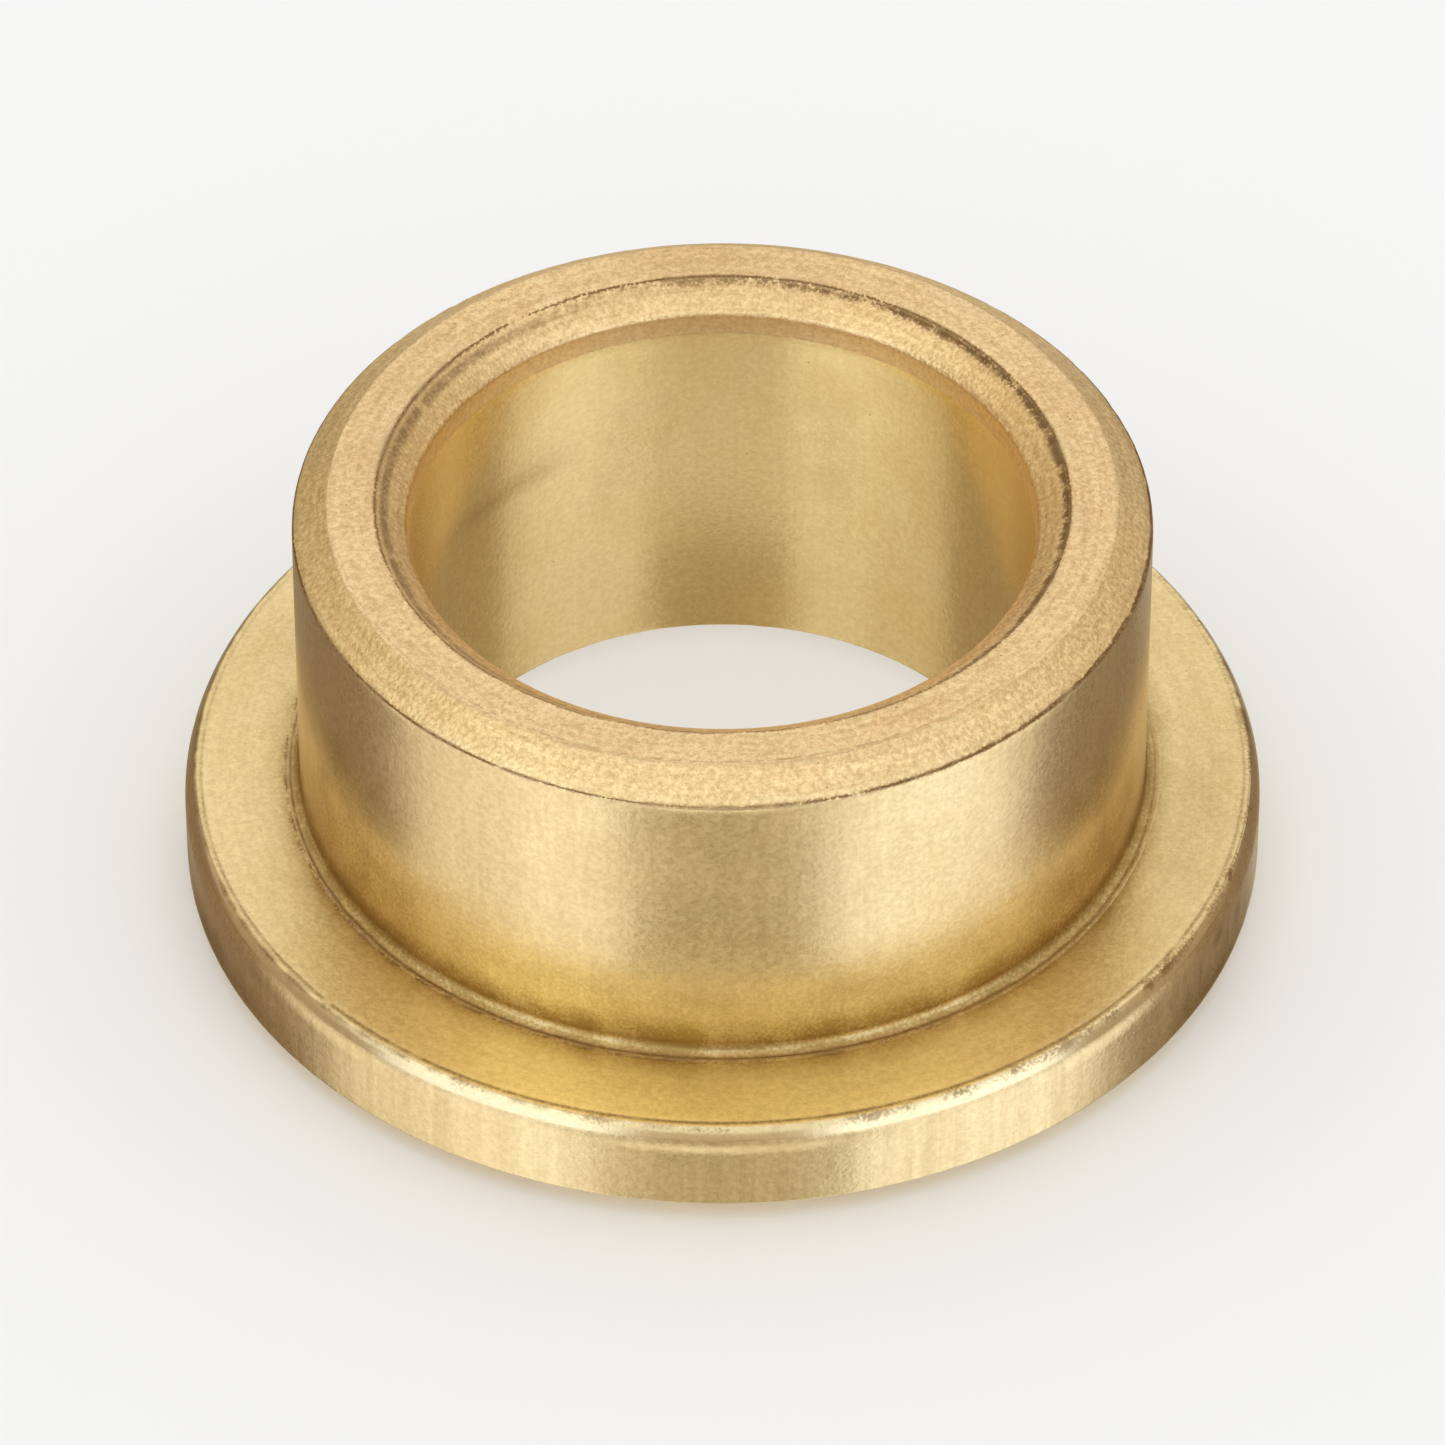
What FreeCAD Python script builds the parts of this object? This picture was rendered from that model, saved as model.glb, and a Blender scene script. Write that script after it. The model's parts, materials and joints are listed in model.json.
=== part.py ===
# A flanged bushing: one solid of revolution about +Z, in millimetres.
# The flange's outer face lies on Z = 0 and the sleeve stands up from it. The origin is where the
# bore's axis meets that face.

import FreeCAD, Part

import math
import os

# Main sizes, those of the standard metric flanged bush for a 16 mm shaft
bore_diameter = 16.0
sleeve_wall = 3.0
flange_width = 3.0
flange_thickness = 3.0
overall_length = 12.0

# Chamfer round the outside of the sleeve's free end, which leads it into its housing
sleeve_lead_width = 0.90
sleeve_lead_depth = 0.66

# Chamfer round the bore at the sleeve's free end, and the slight taper below it
bore_lead_width = 0.82
bore_lead_depth = 0.63
bore_taper_width = 0.05
bore_taper_depth = 0.55

# Countersink round the bore at the flange's outer face: a steep shoulder, a shallow floor that
# slopes towards the bore, and a small lip where it meets the bore
mouth_shoulder_width = 0.36
mouth_shoulder_depth = 0.30
mouth_floor_width = 0.66
mouth_floor_slope = 0.18
mouth_lip_width = 0.12
mouth_lip_depth = 0.10

# Bevel round the flange's outer face, in two cuts of their own slope
face_bevel_width = 0.35
face_bevel_depth = 0.25
rim_bevel_width = 0.35
rim_bevel_depth = 0.33

# Steep bevel on the flange's other edge, on the sleeve's side, blended into the rim
seat_bevel_width = 0.28
seat_bevel_depth = 0.55
seat_bevel_round = 0.45

# Fillet at the sleeve's foot, and the fine ridge that the tooling leaves at its outer end
foot_fillet = 0.25
foot_ridge_width = 0.12
foot_ridge_height = 0.03

# Rounding that tumbling gives every other edge
edge_round = 0.06

# Lengths below this, in millimetres, are nothing
least_length = 1e-7

full_turn = 360
axis_foot = FreeCAD.Vector(0, 0, 0)
axis_direction = FreeCAD.Vector(0, 0, 1)

bore_radius = bore_diameter / 2
sleeve_radius = bore_radius + sleeve_wall
flange_radius = sleeve_radius + flange_width


def mouth_corners():
    """Corners of the countersink round the bore, from the bore out to the flange's face."""
    lip_radius = bore_radius + mouth_lip_width
    shoulder_radius = lip_radius + mouth_floor_width
    floor_depth = mouth_shoulder_depth + mouth_floor_slope
    return [
        (bore_radius, floor_depth + mouth_lip_depth, edge_round),
        (lip_radius, floor_depth, edge_round),
        (shoulder_radius, mouth_shoulder_depth, edge_round),
        (shoulder_radius + mouth_shoulder_width, 0, edge_round),
    ]


def flange_corners():
    """Corners of the flange, from its outer face round the rim to its seat on the sleeve's side."""
    bevel_radius = flange_radius - rim_bevel_width
    return [
        (bevel_radius - face_bevel_width, 0, edge_round),
        (bevel_radius, face_bevel_depth, edge_round),
        (flange_radius, face_bevel_depth + rim_bevel_depth, edge_round),
        (flange_radius, flange_thickness - seat_bevel_depth, seat_bevel_round),
        (flange_radius - seat_bevel_width, flange_thickness, edge_round),
    ]


def sleeve_corners():
    """Corners of the sleeve, from the ridge round its foot up to its free end and into the bore."""
    ridge_radius = sleeve_radius + foot_fillet
    lead_radius = bore_radius + bore_taper_width
    lead_bottom = overall_length - bore_lead_depth
    return [
        (ridge_radius + foot_ridge_width, flange_thickness, 0),
        (ridge_radius + foot_ridge_width / 2, flange_thickness + foot_ridge_height, 0),
        (ridge_radius, flange_thickness, 0),
        (sleeve_radius, flange_thickness, foot_fillet),
        (sleeve_radius, overall_length - sleeve_lead_depth, edge_round),
        (sleeve_radius - sleeve_lead_width, overall_length, edge_round),
        (lead_radius + bore_lead_width, overall_length, edge_round),
        (lead_radius, lead_bottom, edge_round),
        (bore_radius, lead_bottom - bore_taper_depth, edge_round),
    ]


def tangent_lengths(runs, turns, roundings):
    """How far from its corner each rounding starts, made less where two would meet on a run."""
    wanted = [rounding * math.tan(turn / 2) for rounding, turn in zip(roundings, turns)]
    shares = []
    for run, near, far in zip(runs, wanted, wanted[1:] + wanted[:1]):
        shares.append(min(1, run.Length / max(near + far, least_length)))
    return [
        length * min(before, after)
        for length, before, after in zip(wanted, shares[-1:] + shares[:-1], shares)
    ]


def rounded_corner(corner, arriving, leaving, turn, tangent):
    """Start, middle and end of the arc that rounds a corner, or the corner alone if it is sharp."""
    if tangent < least_length:
        return [corner]
    radius = tangent / math.tan(turn / 2)
    inward = (leaving - arriving).normalize()
    middle = corner + inward * (radius / math.cos(turn / 2) - radius)
    return [corner - arriving * tangent, middle, corner + leaving * tangent]


def rounded_outline(corners):
    """A closed wire in the XZ plane through (radius, height, rounding) corners, with their arcs."""
    points = [FreeCAD.Vector(radius, 0, height) for radius, height, _ in corners]
    roundings = [rounding for _, _, rounding in corners]
    runs = [end - start for start, end in zip(points, points[1:] + points[:1])]
    leaving = [FreeCAD.Vector(run).normalize() for run in runs]
    arriving = leaving[-1:] + leaving[:-1]
    turns = [before.getAngle(after) for before, after in zip(arriving, leaving)]
    tangents = tangent_lengths(runs, turns, roundings)
    arcs = [rounded_corner(*row) for row in zip(points, arriving, leaving, turns, tangents)]
    edges = []
    for arc, next_arc in zip(arcs, arcs[1:] + arcs[:1]):
        if len(arc) > 1:
            edges.append(Part.Arc(*arc).toShape())
        if arc[-1].distanceToPoint(next_arc[0]) > least_length:
            edges.append(Part.LineSegment(arc[-1], next_arc[0]).toShape())
    return Part.Wire(edges)


def flanged_bushing():
    """The whole bushing, its half section turned once about the bore's axis."""
    corners = mouth_corners() + flange_corners() + sleeve_corners()
    section = Part.Face(rounded_outline(corners))
    return section.revolve(axis_foot, axis_direction, full_turn)


os.makedirs("parts", exist_ok=True)
bushing = flanged_bushing()
bushing.exportStep("parts/flanged_bushing.step")
print("flanged_bushing: valid", bushing.isValid(), "volume %.2f mm3" % bushing.Volume)
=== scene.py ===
import json
import logging
import math
from abc import ABC, abstractmethod
from dataclasses import dataclass, field, replace
from enum import Enum

import bpy
import numpy as np
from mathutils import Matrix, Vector


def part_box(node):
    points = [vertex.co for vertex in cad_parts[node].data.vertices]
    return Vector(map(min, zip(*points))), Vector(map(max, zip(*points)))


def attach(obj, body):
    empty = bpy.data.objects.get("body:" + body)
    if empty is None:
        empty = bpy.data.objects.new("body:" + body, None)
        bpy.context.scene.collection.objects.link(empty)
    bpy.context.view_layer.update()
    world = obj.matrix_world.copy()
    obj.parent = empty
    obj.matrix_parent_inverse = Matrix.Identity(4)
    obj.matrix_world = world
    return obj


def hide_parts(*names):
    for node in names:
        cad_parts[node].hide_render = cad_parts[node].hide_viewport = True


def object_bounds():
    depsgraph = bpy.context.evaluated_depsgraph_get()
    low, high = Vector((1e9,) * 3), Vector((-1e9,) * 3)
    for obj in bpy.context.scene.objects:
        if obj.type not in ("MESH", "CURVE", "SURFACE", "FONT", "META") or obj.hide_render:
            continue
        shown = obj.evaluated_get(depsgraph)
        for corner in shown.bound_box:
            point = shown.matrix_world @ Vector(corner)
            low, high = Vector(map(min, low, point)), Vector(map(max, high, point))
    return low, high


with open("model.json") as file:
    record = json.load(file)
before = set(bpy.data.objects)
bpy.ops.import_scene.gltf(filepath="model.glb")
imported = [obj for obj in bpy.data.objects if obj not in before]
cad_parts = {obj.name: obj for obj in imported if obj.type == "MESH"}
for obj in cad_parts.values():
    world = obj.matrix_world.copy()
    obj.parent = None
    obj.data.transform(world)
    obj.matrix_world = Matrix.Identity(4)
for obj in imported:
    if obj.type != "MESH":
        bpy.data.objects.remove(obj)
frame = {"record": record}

CAD_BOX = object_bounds()
NODE = "flanged_bushing"
BODY = "root"
MM = 0.001
MM_PER_M = 1000.0
LEAST_MM = 1e-9
FULL_TURN = 360.0
RIGHT_ANGLE = 90.0

# A face's four corners, and which of them lie on the next ring and on the outline's next place
FACE_CORNERS = 4
ON_NEXT_RING = (1, 2)
ON_NEXT_PLACE = (2, 3)

# The colour sockets of Blender's Mix node, by number, because their names come more than once
MIX_FIRST = 6
MIX_SECOND = 7
MIX_RESULT = 2

Colour = tuple[float, float, float]
Point = tuple[float, float, float]
Socket = bpy.types.NodeSocket
Sockets = dict[str, Socket]
Input = float | Colour | Socket

log = logging.getLogger("flanged_bushing")


class Zone(Enum):
    """The stretches of the surface that each have a finish of their own."""

    MOUTH = "countersink"
    OUTER_FACE = "outer_face"
    RIM_BEVEL = "rim_bevel"
    RIM = "rim"
    SEAT_BEVEL = "seat_bevel"
    SEAT = "flange_seat"
    FOOT = "sleeve_foot"
    SLEEVE = "sleeve_wall"
    SLEEVE_LEAD = "sleeve_lead"
    END = "sleeve_end"
    BORE_LEAD = "bore_lead"
    BORE_TAPER = "bore_taper"
    BORE = "bore_wall"


class Layer(Enum):
    """What the mesh stores on its points for the finishes to read."""

    RUN = "run_mm"
    SHINE = "shine"
    GRIME = "grime"
    STAIN_AND_SHADE = "stain"
    FILM_AND_SHADE = "film"


class SocketKind(Enum):
    """The kinds of socket that the shared effects take and give."""

    VALUE = "NodeSocketFloat"


@dataclass(frozen=True)
class Cut:
    """A chamfer, bevel or taper: how wide it is across the axis and how deep along it, in mm."""

    width: float
    depth: float


@dataclass(frozen=True)
class Corner:
    """A corner of the half section, in millimetres.

    zone is the finish of the run that leaves it. shine says how bright rubbing has made the
    corner, and grime how much dark oxide lies broken along it, each from 0 to 1.
    """

    radius: float
    height: float
    rounding: float
    zone: Zone
    shine: float = 0.0
    grime: float = 0.0


@dataclass(frozen=True)
class Section:
    """The bushing's half section, in millimetres, on the sizes that the frame gives."""

    bore_radius: float
    sleeve_radius: float
    flange_radius: float
    length: float
    flange_thickness: float
    sleeve_lead: Cut = Cut(0.90, 0.66)
    bore_lead: Cut = Cut(0.82, 0.63)
    bore_lead_round: float = 0.24
    bore_taper: Cut = Cut(0.05, 0.55)
    bore_taper_round: float = 8.0
    mouth_shoulder: Cut = Cut(0.36, 0.30)
    mouth_floor: Cut = Cut(0.66, 0.18)
    mouth_lip: Cut = Cut(0.12, 0.10)
    face_bevel: Cut = Cut(0.35, 0.25)
    rim_bevel: Cut = Cut(0.35, 0.33)
    seat_bevel: Cut = Cut(0.28, 0.35)
    seat_bevel_round: float = 1.10
    seat_edge_round: float = 0.12
    foot_fillet: float = 0.25
    foot_ridge: Cut = Cut(0.12, 0.03)
    edge_round: float = 0.06

    @classmethod
    def from_frame(cls) -> "Section":
        """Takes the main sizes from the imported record's mounts and the CAD node's box.

        Returns:
            The section with those sizes in millimetres.
        """
        mounts = {mount["name"]: mount for mount in frame["record"]["mounts"]}
        low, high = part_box(NODE)
        return cls(
            bore_radius=mounts["bore"]["dims"]["r_mm"],
            sleeve_radius=mounts["sleeve"]["dims"]["r_mm"],
            flange_radius=high.x * MM_PER_M,
            length=(high.z - low.z) * MM_PER_M,
            flange_thickness=mounts["flange_seat"]["pos_m"][2] * MM_PER_M,
        )

    def mouth(self) -> list[Corner]:
        """Corners of the countersink, from the bore out to the flange's outer face.

        Returns:
            The corners in order.
        """
        lip_radius = self.bore_radius + self.mouth_lip.width
        shoulder_radius = lip_radius + self.mouth_floor.width
        floor_depth = self.mouth_shoulder.depth + self.mouth_floor.depth
        lip_top = floor_depth + self.mouth_lip.depth
        face_radius = shoulder_radius + self.mouth_shoulder.width
        return [
            Corner(self.bore_radius, lip_top, self.edge_round, Zone.MOUTH, shine=0.8),
            Corner(lip_radius, floor_depth, self.edge_round, Zone.MOUTH, shine=0.5),
            Corner(shoulder_radius, self.mouth_shoulder.depth, self.edge_round, Zone.MOUTH, grime=0.6),
            Corner(face_radius, 0.0, self.edge_round, Zone.OUTER_FACE, shine=0.4, grime=0.5),
        ]

    def flange(self) -> list[Corner]:
        """Corners of the flange, from its outer face round the rim to its seat.

        Returns:
            The corners in order.
        """
        bevel_radius = self.flange_radius - self.rim_bevel.width
        rim_bottom = self.face_bevel.depth + self.rim_bevel.depth
        rim_top = self.flange_thickness - self.seat_bevel.depth
        seat_radius = self.flange_radius - self.seat_bevel.width
        return [
            Corner(bevel_radius - self.face_bevel.width, 0.0, self.edge_round, Zone.RIM_BEVEL, 0.4, 0.7),
            Corner(bevel_radius, self.face_bevel.depth, self.edge_round, Zone.RIM_BEVEL, 0.3, 0.4),
            Corner(self.flange_radius, rim_bottom, self.edge_round, Zone.RIM, 0.4, 0.3),
            Corner(self.flange_radius, rim_top, self.seat_bevel_round, Zone.SEAT_BEVEL),
            Corner(seat_radius, self.flange_thickness, self.seat_edge_round, Zone.SEAT),
        ]

    def sleeve(self) -> list[Corner]:
        """Corners of the sleeve, from the ridge round its foot to its free end and into the bore.

        Returns:
            The corners in order.
        """
        ridge_in = self.sleeve_radius + self.foot_fillet
        ridge_out = ridge_in + self.foot_ridge.width
        ridge_mid = (ridge_in + ridge_out) / 2
        seat = self.flange_thickness
        lead_radius = self.bore_radius + self.bore_taper.width
        lead_bottom = self.length - self.bore_lead.depth
        lead_top = self.length - self.sleeve_lead.depth
        end_outer = self.sleeve_radius - self.sleeve_lead.width
        end_inner = lead_radius + self.bore_lead.width
        taper_bottom = lead_bottom - self.bore_taper.depth
        return [
            Corner(ridge_out, seat, 0.0, Zone.FOOT),
            Corner(ridge_mid, seat + self.foot_ridge.depth, 0.0, Zone.FOOT, shine=0.3),
            Corner(ridge_in, seat, 0.0, Zone.FOOT, grime=0.2),
            Corner(self.sleeve_radius, seat, self.foot_fillet, Zone.SLEEVE, grime=0.2),
            Corner(self.sleeve_radius, lead_top, self.edge_round, Zone.SLEEVE_LEAD, 0.3, 0.55),
            Corner(end_outer, self.length, self.edge_round, Zone.END, 0.5, 0.5),
            Corner(end_inner, self.length, self.edge_round, Zone.BORE_LEAD, 0.2, 1.0),
            Corner(lead_radius, lead_bottom, self.bore_lead_round, Zone.BORE_TAPER, 0.2),
            Corner(self.bore_radius, taper_bottom, self.bore_taper_round, Zone.BORE),
        ]

    def corners(self) -> list[Corner]:
        """All the corners, round the outline with the metal on the left."""
        return self.mouth() + self.flange() + self.sleeve()


@dataclass(frozen=True)
class Sampling:
    """How closely the section is sampled, in millimetres.

    Steps grow from the finest at a corner to the coarsest in the middle of a run.
    """

    least_arc_steps: int = 3
    arc_step: float = 0.12
    finest: float = 0.04
    growth: float = 1.55
    coarsest: float = 0.55
    wear_reach: float = 0.085

    def arc_steps(self, length: float) -> int:
        """How many steps a rounding of some length is cut into."""
        return max(self.least_arc_steps, math.ceil(length / self.arc_step))

    def steps_along(self, length: float) -> list[float]:
        """Places between the two ends of a run, close together near both ends.

        Args:
            length: the run's length.

        Returns:
            Distances from the run's start, in order, without its ends.
        """
        near, step = [], self.finest
        place = step
        while place < length / 2 - step / 2:
            near.append(place)
            step = min(step * self.growth, self.coarsest)
            place += step
        return near + [length - place for place in reversed(near)]


class Outline:
    """The half section's outline as sampled points, with what each point wears."""

    def __init__(self, corners: list[Corner], sampling: Sampling) -> None:
        """Samples the outline.

        Args:
            corners: the section's corners, in order round the outline.
            sampling: how closely to sample it.
        """
        self.corners = corners
        self.sampling = sampling
        self.points: list[np.ndarray] = []
        self.zones: list[Zone] = []
        self.corner_places: list[int] = []
        arcs = [self._arc(index) for index in range(len(corners))]
        for index, arc in enumerate(arcs):
            self._add_corner(index, arc)
            self._add_run(arc[-1], arcs[(index + 1) % len(arcs)][0], corners[index].zone)
        self.radii, self.heights = np.array(self.points).T
        self._measure()

    def _arc(self, index: int) -> list[np.ndarray]:
        """Points of the rounding at a corner, or the corner alone if it is sharp.

        Args:
            index: which corner.

        Returns:
            The points, from the arriving run to the leaving one.
        """
        count = len(self.corners)
        before, corner, after = (self.corners[(index + shift) % count] for shift in (-1, 0, 1))
        here = np.array((corner.radius, corner.height))
        if corner.rounding == 0:
            return [here]
        arriving = here - (before.radius, before.height)
        leaving = np.array((after.radius, after.height)) - here
        arriving /= np.linalg.norm(arriving)
        leaving /= np.linalg.norm(leaving)
        cross = arriving[0] * leaving[1] - arriving[1] * leaving[0]
        turn = math.atan2(cross, arriving @ leaving)
        start = here - arriving * corner.rounding * math.tan(abs(turn) / 2)
        to_centre = np.array((-arriving[1], arriving[0])) * math.copysign(corner.rounding, turn)
        centre = start + to_centre
        spoke = -to_centre
        steps = self.sampling.arc_steps(corner.rounding * abs(turn))
        points = []
        for angle in np.linspace(0.0, turn, steps + 1):
            cos, sin = math.cos(angle), math.sin(angle)
            points.append(centre + (spoke[0] * cos - spoke[1] * sin, spoke[0] * sin + spoke[1] * cos))
        return points

    def _add_corner(self, index: int, arc: list[np.ndarray]) -> None:
        """Adds a corner's points. The first half of its arc keeps the finish of the run before.

        Args:
            index: which corner.
            arc: its points.
        """
        middle = len(arc) // 2
        for step, point in enumerate(arc):
            if step == middle:
                self.corner_places.append(len(self.points))
            if step == 0 and self.points and np.linalg.norm(point - self.points[-1]) < LEAST_MM:
                continue
            self.points.append(point)
            self.zones.append(self.corners[index if step >= middle else index - 1].zone)

    def _add_run(self, start: np.ndarray, end: np.ndarray, zone: Zone) -> None:
        """Adds the points between two corners.

        Args:
            start: where the run leaves the first corner's rounding.
            end: where it meets the next one's.
            zone: the run's finish.
        """
        along = end - start
        length = float(np.linalg.norm(along))
        for place in self.sampling.steps_along(length):
            self.points.append(start + along * place / length)
            self.zones.append(zone)

    def _measure(self) -> None:
        """Works out each point's distance round the outline, its normal and its wear."""
        ring = np.array(self.points)
        steps = np.roll(ring, -1, axis=0) - ring
        lengths = np.linalg.norm(steps, axis=1)
        self.around_mm = float(lengths.sum())
        self.run_mm = np.concatenate(([0.0], np.cumsum(lengths)[:-1]))
        outward = np.stack((steps[:, 1], -steps[:, 0]), axis=1) / lengths[:, None]
        normals = outward + np.roll(outward, 1, axis=0)
        self.normals = normals / np.linalg.norm(normals, axis=1)[:, None]
        self.shine = self.near_corners([corner.shine for corner in self.corners])
        self.grime = self.near_corners([corner.grime for corner in self.corners])

    def near_corners(self, weights: list[float], reach: float | None = None) -> np.ndarray:
        """How strongly each point lies under the corners' weights, which fade with distance.

        Args:
            weights: one weight for each corner.
            reach: how far a weight reaches, in millimetres, or None for the usual reach.

        Returns:
            One value for each point.
        """
        reach = reach or self.sampling.wear_reach
        places = self.run_mm[np.array(self.corner_places) % len(self.points)]
        apart = np.abs(self.run_mm[:, None] - places[None, :])
        apart = np.minimum(apart, self.around_mm - apart)
        return (np.array(weights) * np.exp(-((apart / reach) ** 2))).max(axis=1)

    def place_of(self, zone: Zone, share: float) -> float:
        """Where a share of the way along a zone lies, as a distance round the outline.

        Args:
            zone: the zone.
            share: from 0 at its start to 1 at its end.

        Returns:
            The distance in millimetres.
        """
        owned = [index for index, owner in enumerate(self.zones) if owner is zone]
        first = next(index for index in owned if self.zones[index - 1] is not zone)
        lengths = (self.run_mm[owned] - self.run_mm[first]) % self.around_mm
        return float(self.run_mm[first] + share * lengths.max())


@dataclass(frozen=True)
class Mark:
    """A stain, a nick or a patch of painted shade at its place on the bushing.

    azimuth is in degrees from the front towards the right. share is the place along the zone,
    and width and reach are the mark's half sizes round the axis and along the section, in mm.
    slant is how far it moves along the section for each millimetre round the axis.
    """

    zone: Zone
    share: float
    azimuth: float
    width: float
    reach: float
    strength: float
    slant: float = 0.0


@dataclass(frozen=True)
class Groove:
    """A broken line round the axis, deepest and darkest about one azimuth, in degrees and mm.

    offset is its distance from the zone's start, and reach its half width. least is its
    strength on the side where it is faintest, broken how much that wavers, and dark how much
    oxide it holds, of the kind that layer names. burr is how bright the edge beside it is,
    burr_offset back towards the zone's start.
    """

    zone: Zone
    offset: float
    reach: float
    depth: float
    azimuth: float
    least: float
    broken: float
    dark: float
    layer: Layer = Layer.STAIN_AND_SHADE
    burr: float = 0.0
    burr_offset: float = 0.22


@dataclass(frozen=True)
class EdgeNicks:
    """Small nicks scattered along one edge of a zone."""

    zone: Zone
    share: float
    count: int
    widest: float
    deepest: float


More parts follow.
